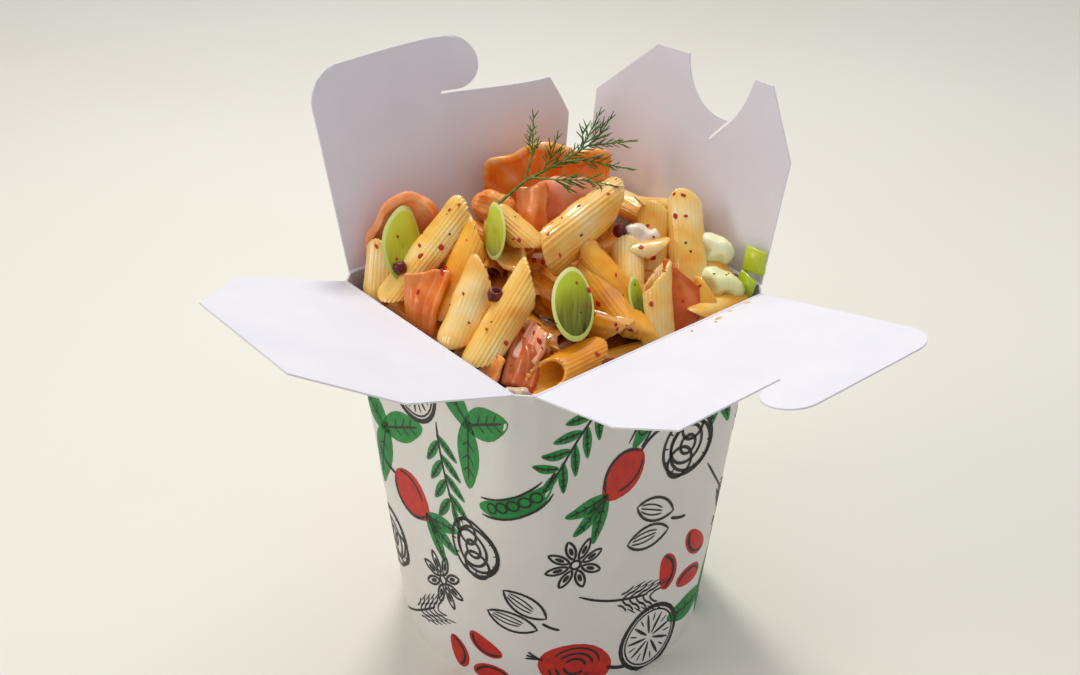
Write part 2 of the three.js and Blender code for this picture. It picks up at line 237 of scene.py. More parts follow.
class Finish:
    """A material built node by node round one Principled shader."""

    def __init__(self, name, **settings):
        self.material = bpy.data.materials.new(name)
        self.material.use_nodes = True
        self.nodes = self.material.node_tree.nodes
        self.links = self.material.node_tree.links
        self.shader = self.nodes["Principled BSDF"]
        for socket, value in settings.items():
            self.shader.inputs[socket.replace("_", " ")].default_value = value

    def node(self, kind, inputs=None, **settings):
        """Adds a node, sets its settings, and fills or links its inputs."""
        node = self.nodes.new("ShaderNode" + kind)
        for name, value in settings.items():
            setattr(node, name, value)
        for key, value in (inputs or {}).items():
            if isinstance(value, bpy.types.NodeSocket):
                self.links.new(value, node.inputs[key])
            else:
                node.inputs[key].default_value = value
        return node

    def place(self):
        """Object coordinates, which are metres in the frame."""
        return self.node("TexCoord").outputs["Object"]

    def noise(self, size_mm, detail=3, place=None):
        """Noise whose lumps are about this many millimetres across."""
        scale = 1 / (size_mm * MM)
        inputs = {"Vector": place or self.place(), "Scale": scale, "Detail": detail, "Roughness": 0.55}
        return self.node("TexNoise", inputs).outputs["Fac"]

    def spread(self, value, low, high, top=1.0):
        """A value stretched from between low and high to between 0 and top."""
        inputs = {"Value": value, "From Min": low, "From Max": high, "To Max": top}
        return self.node("MapRange", inputs).outputs["Result"]

    def ramp(self, factor, *stops):
        """A colour ramp through (position, hex colour) stops."""
        node = self.node("ValToRGB", {"Fac": factor})
        elements = node.color_ramp.elements
        while len(elements) < len(stops):
            elements.new(0.5)
        for element, (position, colour) in zip(elements, stops):
            element.position = position
            element.color = linear(colour)
        return node.outputs["Color"]

    def mix(self, factor, first, second):
        """One colour over another, each a socket or a hex colour."""
        node = self.node("Mix", data_type="RGBA")
        for key, value in ((0, factor), (6, first), (7, second)):
            if isinstance(value, bpy.types.NodeSocket):
                self.links.new(value, node.inputs[key])
            elif isinstance(value, str):
                node.inputs[key].default_value = linear(value)
            else:
                node.inputs[key].default_value = value
        return node.outputs[2]

    def bump(self, height, distance_mm, strength, normal=None):
        """A normal bent by a height of so many millimetres, over an earlier normal."""
        inputs = {"Height": height, "Distance": distance_mm * MM, "Strength": strength}
        if normal is not None:
            inputs["Normal"] = normal
        return self.node("Bump", inputs).outputs["Normal"]

    def wear(self, **sockets):
        """Links sockets to the shader and hands over the material."""
        for name, socket in sockets.items():
            self.links.new(socket, self.shader.inputs[name.replace("_", " ")])
        return self.material


def coated_board():
    """Clay-coated white paperboard: nearly matt, a cool white, with a faint cloudiness.

    Its fibres are drawn half a millimetre wide, coarser than real ones, so that they show.
    """
    board = Finish("coated_white_board", Roughness=0.62, IOR=1.45)
    tone = board.ramp(board.noise(22), (0.3, "#EAEAF2"), (0.7, "#F1F0F6"))
    fibres = board.noise(0.5, detail=2)
    return board.wear(Base_Color=tone, Normal=board.bump(fibres, 0.02, 0.3))


def printed_board():
    """The outside of the same board: a warmer off-white, which takes the print."""
    board = Finish("off_white_board", Roughness=0.55, IOR=1.45)
    tone = board.ramp(board.noise(30), (0.3, "#E4E1DA"), (0.7, "#EBE8E2"))
    fibres = board.noise(0.5, detail=2)
    return board.wear(Base_Color=tone, Normal=board.bump(fibres, 0.02, 0.3))


def printing_ink(name, dark, light):
    """Offset ink: a thin even film, a little mottled, with the sheen of the board under it."""
    ink = Finish(name, Roughness=0.5, IOR=1.45)
    return ink.wear(Base_Color=ink.ramp(ink.noise(3), (0.35, dark), (0.65, light)))


def cooked_pasta(name, dark, middle, light):
    """Durum wheat pasta, boiled and coated in cream sauce: amber, with a painted highlight that pales its
    ridges, wet and bright.
    """
    pasta = Finish(
        name, Roughness=0.38, IOR=1.42, Specular_IOR_Level=0.2,
        Subsurface_Weight=0.2, Subsurface_Scale=0.0025, Coat_Weight=1.0, Coat_Roughness=0.05)
    pasta.shader.inputs["Subsurface Radius"].default_value = (1.0, 0.55, 0.2)
    tone = pasta.ramp(pasta.noise(13, detail=2), (0.3, dark), (0.5, middle), (0.72, light))
    shape = pasta.node("NewGeometry")
    # Painted highlight: the crests of the ridges are lightened towards pale cream.
    ridges = pasta.spread(shape.outputs["Pointiness"], 0.5, 0.58, 0.2)
    tone = pasta.mix(ridges, tone, "#FAE3AE")
    darker_quills = pasta.spread(shape.outputs["Random Per Island"], 0.6, 1.0, 0.35)
    tone = pasta.mix(darker_quills, tone, dark)
    beads = pasta.noise(1.6)
    film = pasta.noise(5, detail=2)
    normal = pasta.bump(film, 0.5, 0.6, pasta.bump(beads, 0.2, 0.4))
    return pasta.wear(Base_Color=tone, Normal=normal)


def painted_shade_core():
    """What shows between the pieces: pasta and sauce in deep shade, painted in as a warm red-brown."""
    core = Finish("sauced_pasta_below", Roughness=0.4, IOR=1.42, Coat_Weight=0.3)
    # Painted shade: dark red-brown tones stand in for the shade between the pieces.
    tone = core.ramp(core.noise(6, detail=4), (0.35, "#4A1C06"), (0.65, "#984A0C"))
    return core.wear(Base_Color=tone, Normal=core.bump(core.noise(4), 0.8, 0.6))


def smoked_salmon(name, dark, middle, light, fat, bands_across, lines_strength=0.35):
    """Cold-smoked salmon: moist, slightly clear orange flesh, with pale lines of fat across it."""
    salmon = Finish(
        name, Roughness=0.34, IOR=1.4, Specular_IOR_Level=0.3,
        Subsurface_Weight=0.2, Subsurface_Scale=0.003, Coat_Weight=0.5, Coat_Roughness=0.12)
    salmon.shader.inputs["Subsurface Radius"].default_value = (1.0, 0.5, 0.2)
    flesh = salmon.ramp(salmon.noise(7, detail=4), (0.3, dark), (0.5, middle), (0.72, light))
    surface = salmon.node("UVMap").outputs["UV"]
    wave = {"Vector": surface, "Scale": bands_across, "Distortion": 1.6, "Detail": 2.0, "Detail Scale": 1.2}
    bands = salmon.node("TexWave", wave).outputs["Fac"]
    tone = salmon.mix(salmon.spread(bands, 0.75, 1.0, lines_strength), flesh, fat)
    grain = salmon.noise(1.4)
    normal = salmon.bump(grain, 0.15, 0.35, salmon.bump(bands, 0.25, 0.3))
    return salmon.wear(Base_Color=tone, Normal=normal)


def leek_skin(name, tones, low, high, heading=0, pitch=0, gloss=0.35):
    """Cooked leek: waxy and moist, with fine lines along the leaf, and painted shade that darkens it
    towards its lower end.
    """
    leek = Finish(
        name, Roughness=0.5 - 0.5 * gloss, IOR=1.4,
        Subsurface_Weight=0.15, Subsurface_Scale=0.0015, Coat_Weight=gloss, Coat_Roughness=0.15)
    leek.shader.inputs["Subsurface Radius"].default_value = (0.6, 1.0, 0.3)
    place = leek.place()
    height = leek.node("SeparateXYZ", {"Vector": place}).outputs["Z"]
    # Painted shade: the tone darkens from the given high height down to the low one, so lower parts and the
    # bottoms of hollows look shaded.
    shade = leek.ramp(leek.spread(height, low * MM, high * MM), *zip((0.15, 0.5, 0.9), tones))
    turn = (0, math.radians(pitch), math.radians(heading))
    leaf = leek.node(
        "Mapping", {"Vector": place, "Rotation": turn, "Scale": (12, 1, 1)}, vector_type="TEXTURE")
    fibres = leek.noise(1.0, detail=2, place=leaf.outputs["Vector"])
    tone = leek.mix(leek.spread(fibres, 0.3, 0.7, 0.3), shade, tones[2])
    return leek.wear(Base_Color=tone, Normal=leek.bump(fibres, 0.12, 0.5))


def plain_food(name, dark, light, size_mm, roughness=0.4, coat=0.2):
    """Small moist food, such as a herb, a peppercorn or a drop of sauce, mottled between two tones."""
    food = Finish(name, Roughness=roughness, IOR=1.42, Coat_Weight=coat, Coat_Roughness=0.15)
    mottle = food.noise(size_mm)
    tone = food.ramp(mottle, (0.35, dark), (0.65, light))
    return food.wear(Base_Color=tone, Normal=food.bump(mottle, 0.1, 0.5))


# The box

def box_form(inset, floor, name):
    """Straight lines from a round base to a rectangular mouth with cut corners."""
    bpy.ops.mesh.primitive_plane_add(size=1, location=(0, 0, HEIGHT))
    mouth = started(name)
    with editing(mouth):
        bpy.ops.transform.resize(value=(MOUTH_X - 2 * inset, MOUTH_Y - 2 * inset, 1))
        cut = CORNER_CUT - inset * (2 - math.sqrt(2))
        bpy.ops.mesh.bevel(offset=cut, affect="VERTICES", offset_type="OFFSET", segments=1)
    bpy.ops.mesh.primitive_circle_add(
        vertices=WALL_SIDES, radius=BASE_RADIUS - inset, location=(0, 0, floor))
    base = started("base")
    form = joined([mouth, base], name)
    with editing(form):
        bpy.ops.mesh.convex_hull(delete_unused=True, join_triangles=False)
    return form


def remove_faces(piece, facing):
    """Deletes the faces whose normal and centre pass the test."""
    only(piece)
    bpy.ops.object.mode_set(mode="EDIT")
    bpy.ops.mesh.select_mode(type="FACE")
    bpy.ops.mesh.select_all(action="DESELECT")
    bpy.ops.object.mode_set(mode="OBJECT")
    for face in piece.data.polygons:
        face.select = facing(face.normal, face.center)
    bpy.ops.object.mode_set(mode="EDIT")
    bpy.ops.mesh.delete(type="FACE")
    bpy.ops.object.mode_set(mode="OBJECT")


def build_wall():
    """The wall and base, printed outside and plain inside. The bare form stays for the print to lie on."""
    wall = box_form(0, 0, "box_wall")
    remove_faces(wall, lambda normal, centre: normal.z > 0.9 and centre.z > HEIGHT - 1)
    print_ground = copied(wall, "print_ground")
    modify(wall, "SOLIDIFY", thickness=BOARD, offset=-1, material_offset=1, material_offset_rim=1)
    only(wall)
    wall.data.materials.append(printed)
    wall.data.materials.append(board)
    for face in wall.data.polygons:
        inside = face.normal.to_2d().dot(face.center.to_2d()) < 0 or face.center.z > HEIGHT - 0.1
        face.material_index = 1 if inside else 0
    finished(wall, None, "box", "paperboard", "box_body")
    return print_ground


def crease_beads():
    """The fold of each crease: a thin round of board on the hinge line, from the rim to the flap."""
    wide = MOUTH_X - 2 * CORNER_CUT
    deep = MOUTH_Y - 2 * CORNER_CUT
    sides = (
        ("front", (0, -MOUTH_Y / 2 - CREASE_OFFSET), wide, 90),
        ("right", (MOUTH_X / 2 + CREASE_OFFSET, 0), deep, 0),
        ("back", (0, MOUTH_Y / 2 + CREASE_OFFSET), wide, 90),
        ("left", (-MOUTH_X / 2 - CREASE_OFFSET, 0), deep, 0),
    )
    for side, (x, y), length, turn in sides:
        bpy.ops.mesh.primitive_cylinder_add(
            vertices=16, radius=CREASE_OFFSET, depth=length, location=(x, y, HEIGHT),
            rotation=(math.radians(90), 0, math.radians(turn)))
        bead = started("crease_" + side)
        with editing(bead):
            bpy.ops.mesh.bevel(offset=0.15, segments=2)
        smooth(bead)
        finished(bead, board, side + "_flap", "paperboard")


def build_bent_flap():
    """The left flap: it bows out in its middle, and its far edge curls in over the food."""
    flap = fixed(copied(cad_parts["flap_left"], "bent_left_flap"), Matrix.Scale(1 / MM, 4))
    with editing(flap):
        bpy.ops.mesh.remove_doubles(threshold=1e-3)
    cut_every = 4
    cuts = [((0, cut_every * step - MOUTH_Y / 2, 0), (0, 1, 0)) for step in range(1, 24)]
    cuts += [((0, 0, HEIGHT + cut_every * step), (0, 0, 1)) for step in range(1, 20)]
    for place, normal in cuts:
        with editing(flap):
            bpy.ops.mesh.bisect(plane_co=place, plane_no=normal, threshold=1e-4)
    pull_all(flap, (((-55, -8, 185), (-3, 0, 0)), ((-55, 48, 176), (9, 0, 0))), 46)
    smooth(flap, 30)
    finished(flap, board, "left_flap", "paperboard", "flap_left")


# Pasta

def penne(name, length, ridge, top_turn, foot_turn, bend, ridges=26, steps=8, wall=PENNE_WALL):
    """A quill of ridged pasta along +X from the origin, cut slantwise at both ends.

    A turn says where the tip is at each end, and ridge is how deep the grooves between ridges are.
    """
    bpy.ops.mesh.primitive_circle_add(
        vertices=2 * ridges, radius=PENNE_RADIUS, fill_type="NOTHING", rotation=(0, math.pi / 2, 0))
    tube = started(name)
    groove = 1 - ridge / PENNE_RADIUS
    with editing(tube, lambda v: v.index % 2 == 1):
        bpy.ops.transform.resize(value=(1, groove, groove))
    with editing(tube):
        for _ in range(steps):
            bpy.ops.mesh.extrude_region_move(TRANSFORM_OT_translate={"value": (length / steps, 0, 0)})
    run = PENNE_RADIUS * math.tan(PENNE_CUT)
    for way, middle, turn in ((-1, run, top_turn), (1, length - run, foot_turn)):
        across = math.radians(turn)
        normal = Vector((
            way * math.cos(PENNE_CUT),
            math.sin(PENNE_CUT) * math.sin(across),
            -math.sin(PENNE_CUT) * math.cos(across),
        ))
        with editing(tube):
            bpy.ops.mesh.bisect(plane_co=(middle, 0, 0), plane_no=normal, clear_outer=True, threshold=1e-4)
    with editing(tube):
        bpy.ops.mesh.normals_make_consistent(inside=False)
        bpy.ops.transform.resize(value=(1, 1, PENNE_OVAL))
    modify(tube, "SOLIDIFY", thickness=wall, offset=-1)
    refined(tube)
    if bend:
        bend_along(tube, bend, "Y")
    return tube


# Each quill that the photo shows: x, y, z of its upper end; heading, fall, length; girth; turn of
# the tip at each end; depth of the ridges; bend; and tone, which is 0 usual, 1 pale or 2 amber
LYING_PENNE = (
    (-39, -35, 130, -45, 54, 21, 0.95, 20, 0, 0.5, 3, 1),
    (-24, -13, 141, -88, 35, 41, 1.14, 0, 0, 0.8, 6, 0),
    (-18, -12, 138, -67, 40, 36, 1.05, 70, 0, 0.35, 5, 2),
    (-2, -23, 134, -68, 42, 30, 1.06, 40, 0, 0.3, 4, 1),
    (11, -14, 135, -79, 37, 38, 1.1, 60, 0, 0.8, 3, 0),
    (-1, -15, 131, 153, -8, 24, 1.0, 150, 0, 0.4, 6, 0),
    (-17, -9, 139, 15, 25, 20, 0.95, 0, 0, 0.7, 4, 0),
    (34, -37, 113.5, 93, -1, 29, 1.08, 200, 0, 0.6, 4, 2),
    (3, 25, 144, -85, 18, 39, 1.12, 5, -75, 0.6, -8, 0),
    (7, 4, 133, 14, 33, 28, 0.98, 0, 0, 0.2, 8, 2),
    (8, 4, 128, -1, 27, 35, 1.16, 0, -75, 0.3, 5, 2),
    (10, 21, 131, -40, 32, 30, 0.95, 0, 0, 0.5, 4, 1),
    (24, 19, 131, -37, 52, 30, 1.0, -110, 0, 0.7, 4, 1),
    (12, 42, 142, -36, 47, 36, 1.08, 15, 0, 0.4, 3, 0),
    (8, 34, 139, -46, 50, 30, 0.95, 10, 0, 0.4, 3, 0),
    (5, 27, 138, 70, 15, 16, 0.8, 0, 0, 0.4, 0, 1),
    (22, 28, 131, -125, 10, 15, 0.6, 0, 0, 0.2, 0, 1),
    (34, 33, 124, -60, 62, 24, 0.95, 45, 0, 0.3, 4, 2),
    (38, 39, 118, -135, 8, 26, 0.85, 0, 0, 0.3, 2, 0),
    (13, 42, 127, -8, 20, 28, 0.9, 0, 0, 0.3, 2, 2),
    (-38, 4, 124, 82, 2, 34, 0.9, 0, 0, 0.4, 2, 0),
    (-22, 42, 128, 4, 4, 34, 0.9, 0, 0, 0.4, 2, 0),
    (-37, -39, 113, 3, 2, 30, 0.9, 0, 0, 0.4, 2, 2),
    (38.5, 20, 115.5, 88, 0, 24, 0.8, 0, 0, 0.3, 2, 0),
    (-27, -12, 131, 20, 12, 24, 0.9, 0, 0, 0.4, 2, 2),
)

# The row of the quill whose end is squeezed nearly shut
PINCHED = 10


def mound(x, y):
    """The smooth mound: lowest at the wall, highest in the middle, and higher at the back corner."""
    low, dome_height, corner_rise = 110, 11, 14
    corner = 71
    dome = dome_height * (1 - (x / 50) ** 2) * (1 - (y / 52) ** 2)
    rise = corner_rise * min(max((y - x + corner) / (2 * corner), 0), 1)
    return low + dome + rise


def build_lying_penne():
    """The quills that can be told apart in the photo, each in its place."""
    quills = []
    for number, row in enumerate(LYING_PENNE):
        x, y, z, heading, fall, length, girth, top, foot, ridge, bend, tone = row
        wall = PINCHED_WALL if number == PINCHED else PENNE_WALL
        quill = penne(f"quill_{number}", length, ridge, top, foot, bend, wall=wall)
        for finish in pastas:
            quill.data.materials.append(finish)
        for face in quill.data.polygons:
            face.material_index = tone
        quills.append(lay(quill, (x, y, z), heading, fall, stretch=(1, girth, girth)))
    whole = joined(quills, "penne_on_top")
    unevened(whole, clouds("dents", 9), 1.2)
    smooth(whole, 60)
    return finished(whole, None, "box", "penne", "pasta_heap")


def build_filler_penne():
    """Level pieces between the others, spread by the golden angle, in a darker pasta finish that paints in
    their shade.
    """
    count = 46
    golden = 137.5
    half = 17
    reach_x, reach_y = 36, 39
    side_x, side_y = 38, 41
    patterns = [
        penne(f"pattern_{k}", 2 * half, 0.5, 70 * k, 40 * k, 6, ridges=14, steps=4) for k in range(3)
    ]
    quills = []
    for number in range(count):
        spread = math.sqrt((number + 0.5) / count)
        angle = math.radians(number * golden)
        heading = math.radians(number * 71)
        room_x = side_x - half * abs(math.cos(heading))
        room_y = side_y - half * abs(math.sin(heading))
        x = min(max(spread * reach_x * math.cos(angle), -room_x), room_x)
        y = min(max(spread * reach_y * math.sin(angle), -room_y), room_y)
        z = mound(x, y) - 8 + 2 * math.sin(number * 1.7)
        under_low_quills = x > 22 and -26 < y < 12
        if under_low_quills:
            z -= 8
        quill = copied(patterns[number % len(patterns)], f"filler_{number}")
        lay(quill, (-half, 0, 0))
        quills.append(lay(quill, (x, y, z), math.degrees(heading), 0, number * 50))
    discard(*patterns)
    whole = joined(quills, "penne_below")
    smooth(whole, 60)
    return finished(whole, shaded_pasta_below, "box", "penne")


def build_core():
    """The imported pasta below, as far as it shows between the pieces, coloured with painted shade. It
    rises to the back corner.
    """
    core = box_form(1.2, BOARD + 0.3, "pasta_core")
    brim = 100
    with editing(core):
        bpy.ops.mesh.bisect(
            plane_co=(0, 0, brim), plane_no=(0, 0, 1), clear_outer=True, use_fill=True, threshold=1e-4)
    for rise, share in ((4, 0.96), (5, 0.9), (4, 0.8), (3, 0.7)):
        top = max(v.co.z for v in core.data.vertices)
        with editing(core, lambda v: v.co.z > top - 0.01):
            bpy.ops.mesh.extrude_region_move(TRANSFORM_OT_translate={"value": (-1.5, 1.5, rise)})
            bpy.ops.transform.resize(value=(share, share, 1))
    smooth(core, 50)
    return finished(core, core_painted_shade, "box", "penne")


# Salmon

def pleated_shell(name, width, depth, height, pleats, fluting, low, sink, thickness):
    """Half a hollow egg that opens towards -Y, its wall in pleats that meet behind."""
    bpy.ops.mesh.primitive_uv_sphere_add(
        segments=6 * pleats, ring_count=16, radius=1, rotation=(math.pi / 2, 0, 0))
    shell = started(name)
    with editing(shell):
        bpy.ops.transform.resize(value=(width / 2, depth, height))
        bpy.ops.mesh.bisect(plane_co=(0, 0, 0), plane_no=(0, -1, 0), clear_outer=True, threshold=1e-4)
    with editing(shell):
        bpy.ops.mesh.bisect(
            plane_co=(0, 0, -low * height), plane_no=(0, 0, -1), clear_outer=True, threshold=1e-4)

    def on_fold(vertex):
        x, y, z = vertex.co
        angle = math.atan2(z / height, x / (width / 2))
        return math.cos(pleats * angle) > 0 and y < 0.85 * depth

    with editing(shell, on_fold):
        bpy.ops.transform.resize(value=(1 + fluting, 1, 1 + fluting))
    with editing(shell):
        bpy.ops.mesh.vertices_smooth(factor=0.5, repeat=2)
        bpy.ops.mesh.normals_make_consistent(inside=False)
    pull(shell, (0, depth, 0), (0, 0, -sink), 1.5 * height)
    modify(shell, "SOLIDIFY", thickness=thickness, offset=-1)
    refined(shell)
    return shell


def pillow(name, length, depth, height):
    """A rounded lump about the origin."""
    bpy.ops.mesh.primitive_uv_sphere_add(segments=32, ring_count=20, radius=1, rotation=(0, math.pi / 2, 0))
    lump = started(name)
    with editing(lump):
        bpy.ops.transform.resize(value=(length / 2, depth / 2, height / 2))
    return lump


def slice_between(name, corners, flutes=0, depth=0):
    """A slice spread between four corners, lower left and round to upper left, fluted lengthwise."""
    bpy.ops.mesh.primitive_grid_add(x_subdivisions=16, y_subdivisions=8, size=1, location=(0.5, 0.5, 0))
    piece = started(name)
    if flutes:
        with editing(piece, lambda v: math.cos(2 * math.pi * flutes * v.co.x) > 0.2):
            bpy.ops.transform.translate(value=(0, 0, depth))
    first, second, third, fourth = [Vector(corner) for corner in corners]
    across, along = second - first, fourth - first
    out = across.cross(along).normalized()
    fixed(piece, Matrix.Translation(first) @ Matrix((across, along, out)).transposed().to_4x4())
    pull(piece, second + along, third - second - along, across.length)
    with editing(piece):
        bpy.ops.mesh.vertices_smooth(factor=0.5, repeat=2)
    return piece


def thickened(piece, thickness):
    """A slice given its thickness, half to each side, and rounded off."""
    modify(piece, "SOLIDIFY", thickness=thickness, offset=0)
    refined(piece)
    return piece


def build_salmon():
    """The hood and what lies in it, the arch at the left, and the slices between the pasta."""
    dents = clouds("salmon_dents", 6)

    def salmon(piece, material, depth, *nodes):
        unevened(piece, dents, depth)
        smooth(piece, 60)
        return finished(piece, material, "box", "salmon", *nodes)

    hood = pleated_shell("smoked_salmon_hood", 43, 10, 21.5, 7, 0.08, low=0.25, sink=10, thickness=2.8)
    pull(hood, (-17, 0, 10), (-2.5, 0, 4), 9)
    pull(hood, (15, 0, 15), (4, 0, 2.5), 9)
    pull(hood, (9, 5, 15), (0, -4, -2), 5)
    pull(hood, (-6, 6, 15), (0, -4, -1), 4)
    pull(hood, (-13, -2, 3), (2.5, -2, 0), 5)
    salmon(lay(hood, (-27.5, 22, 130), 50.5), salmon_orange, 0.8, "salmon_back_hood")

    fold = pillow("smoked_salmon_fold", 31, 11, 22)
    pull_all(fold, (
        ((-6, -5, 3), (0, 2.6, -1)),
        ((3, -5, 4), (0, 2.4, 0)),
        ((0, 0, 9), (1, 0, -1.5)),
        ((9, -5, -1), (0, 2.4, 1)),
        ((-2, -5, 0), (0.5, -1.6, 0.5)),
        ((6, -4, 7), (0, -1.5, 1)),
    ), 3.5)
    salmon(lay(fold, (-13, 17, 134), 56, 2), salmon_pink, 2.2, "salmon_back_fold")

    tongue = slice_between(
        "smoked_salmon_tongue", ((-9, -3, 126), (-3, 3, 127), (-12, 5, 145), (-22, -3, 144)), 2, 0.8)
    pull(tongue, (-11, 1, 137), (2.6, -1.8, 1.2), 7)
    salmon(thickened(tongue, SALMON), salmon_pale, 0.9)

    small = pillow("smoked_salmon_small", 14, 9, 11)
    pull(small, (-2, -4, 2), (0, 2.5, -1), 4)
    salmon(lay(small, (-22, -5, 138), 30, 8), salmon_orange, 2.6, "salmon_back_small")

    left = pleated_shell("smoked_salmon_left", 27, 5, 17.5, 5, 0.05, low=0.8, sink=9, thickness=3)
    pull(left, (-11, 0, 8), (1.5, -0.5, 0), 6)
    pull(left, (7, 0, 9), (0, -2, 2), 6)
    salmon(lay(left, (-36.8, -27.6, 129), 66), salmon_rose, 0.8, "salmon_left")

    # Name; corners; flutes and their depth; pulls; thickness; finish; unevenness; the node it replaces
    slices = (
        ("strip", ((-16, -43.5, 111), (-4, -41.5, 112), (-11, -30, 129.5), (-19.5, -41, 129.5)), 4, 0.9,
         (((-13, -39, 121), (1.3, -1.2, 1), 7), ((-18, -41, 128), (0.5, -0.8, 0.8), 3),
          ((-14, -34, 129), (0.4, -0.5, 0.9), 3)), 1.7, salmon_lined, 0.5, ("salmon_strip",)),
        ("front", ((24, -40, 110), (31, -32, 111), (28, -23, 120.5), (21, -25, 121)), 2, 0.5,
         (((26, -31, 115), (0.8, -1, 1.6), 5),), 1.8, salmon_deep, 0.8, ("salmon_front",)),
        ("ragged", ((22, -34, 116), (28, -28, 117), (30, -19, 122.5), (24, -22, 122.5)), 2, 0.5,
         (((26, -25, 121), (0.6, -0.6, 1.2), 3),), 1.4, salmon_fat, 1.4, ()),
        ("bit", ((17, -42, 111), (25, -41, 111.5), (24, -35, 117.5), (18, -37, 118)), 0, 0,
         (((21, -38.5, 115), (0.4, -0.6, 1.2), 4),), 1.8, salmon_orange, 0.6, ("salmon_front_bit",)),
        ("wedge", ((36, 14.5, 110.5), (39, 27.5, 111), (30, 26, 132), (28.5, 23.5, 132.5)), 0, 0,
         (((34, 22, 118), (1.4, -1.2, 1), 8),), 1.8, salmon_plain, 0.2, ("salmon_wedge",)),
    )
    for name, corners, flutes, depth, pulls, thickness, finish, unevenness, nodes in slices:
        piece = slice_between("smoked_salmon_" + name, corners, flutes, depth)
        for at, by, reach in pulls:
            pull(piece, at, by, reach)
        salmon(thickened(piece, thickness), finish, unevenness, *nodes)


# Leek

def leek_cup(name, length, width, depth, point, finishes):
    """A hollow length of leek cut on a long slant: an oval opening towards +Z, pointed at its upper end."""
    bpy.ops.mesh.primitive_uv_sphere_add(segments=36, ring_count=16, radius=1)
    cup = started(name)
    for finish in finishes:
        cup.data.materials.append(finish)
    with editing(cup):
        bpy.ops.mesh.bisect(plane_co=(0, 0, 0), plane_no=(0, 0, 1), clear_outer=True, threshold=1e-4)
        bpy.ops.transform.resize(value=(length / 2, width / 2, depth))
    pull(cup, (-length / 2, 0, 0), (-point, 0, point / 2), width / 2)
    with editing(cup):
        bpy.ops.mesh.normals_make_consistent(inside=False)
    modify(cup, "SOLIDIFY", thickness=LEEK, offset=-1, material_offset=1, material_offset_rim=2)
    refined(cup)
    return cup


def build_leek():
    """Open hollow lengths, pale layers from the heart, and two bright squares of leaf."""
    lumps = clouds("leek_lumps", 4)

    def cup_finishes(tones, heading, pitch, low, high):
        """The three finishes of a cup: its pale outside, its green inside and its cut edge."""
        inside = leek_skin("leek_inside", tones, low, high, heading, pitch, 0.05)
        outside = leek_skin("leek_outside", ("#B4BC5C", "#C4CC72", "#D2D88C"), low, high, heading, pitch)
        edge = leek_skin("leek_cut_edge", ("#B8C450", "#C6D068", "#D4DC86"), low, high, heading, pitch)
        return outside, inside, edge

    # Inside tones of the cups, from low to high, with painted shade at the low end; the deep set paints a
    # darker shade, nearly black, into the deeper hollows.
    bright = ("#6A6600", "#A8A410", "#C8CC34")
    deep = ("#140F00", "#5C5600", "#B0BC18")
    cups = (
        ("leek_left", 23, 16, 13, (-29, -35, 130.5), -38, 40, -40, 3, bright),
        ("leek_middle", 25, 14, 12, (24, -13, 126), -41, 28, -24, 1, deep),
        ("leek_sliver_back", 18, 8, 4.5, (-9.8, -13.6, 136.2), -38, 40, 35, 1.5, bright),
        ("leek_sliver_right", 13, 6.5, 4, (28.5, 8, 122), -20, 48, -20, 1.5, deep),
    )
    for name, length, width, depth, place, heading, pitch, tilt, point, tones in cups:
        fall = length / 2 * math.sin(math.radians(pitch))
        finishes = cup_finishes(tones, heading, pitch, place[2] - fall, place[2] + fall)
        cup = leek_cup("cooked_" + name, length, width, depth, point, finishes)
        lay(cup, place, heading, pitch, tilt)
        smooth(cup, 60)
        finished(cup, None, "box", "leek_green", name)

    pale = (
        ("leek_pale_upper", 13, 7.5, 11, (27, 41, 127.5), 30.5, 10, leek_pale),
        ("leek_pale_lower", 16, 8, 10.5, (34.5, 36, 120.5), 30.5, 12, leek_pale),
        ("leek_white_back", 12, 7, 7.5, (13, 25, 132), 50.5, 18, leek_white),
        ("leek_white_front", 10, 4.5, 5.5, (31, -40, 110.5), 60.5, 0, leek_white),
    )
    for name, width, depth, height, place, heading, pitch, finish in pale:
        layer = pillow("cooked_" + name, width, depth, height)
        pull_all(layer, (
            ((-2, -3, 1), (0.5, 1.4, -0.6)), ((3, -3, -1), (0, 1.2, 0.5)), ((0, 0, 4), (1, 0.5, -1.2))), 3)
        lay(layer, place, heading, pitch)
        unevened(layer, lumps, 1.6)
        smooth(layer, 60)
        finished(layer, finish, "box", "leek_white", name)

    leaves = (
        ("leek_green_upper", [(36, 45, 123), (43.5, 46, 122.5), (41.5, 47.5, 130), (34.5, 47, 131)]),
        ("leek_green_lower", [(35.5, 42, 116), (43, 42.5, 116), (44, 45, 123), (37.5, 44.5, 124)]),
    )
    for name, corners in leaves:
        leaf = slice_between("cooked_" + name, corners)
        middle = sum((Vector(c) for c in corners), Vector()) / 4
        pull(leaf, middle, (1.2, -1.2, 0.8), 5)
        smooth(thickened(leaf, 1.8), 60)
        finished(leaf, leek_bright, "box", "leek_green", name)


# Herb and pepper

def rod(pattern, start, end, thickness, name):
    """A copy of a tapering rod of length one, stretched from one point to another."""
    way = Vector(end) - Vector(start)
    heading = math.degrees(math.atan2(way.y, way.x))
    fall = -math.degrees(math.asin(way.z / way.length))
    return lay(copied(pattern, name), start, heading, fall, stretch=(way.length, thickness, thickness))


def tapering_rod(name, tip):
    """A rod of length and thickness one along +X, which tapers to this share at its tip."""
    bpy.ops.mesh.primitive_cone_add(
        vertices=5, radius1=0.5, radius2=0.5 * tip, depth=1,
        location=(0.5, 0, 0), rotation=(0, math.pi / 2, 0))
    return started(name)


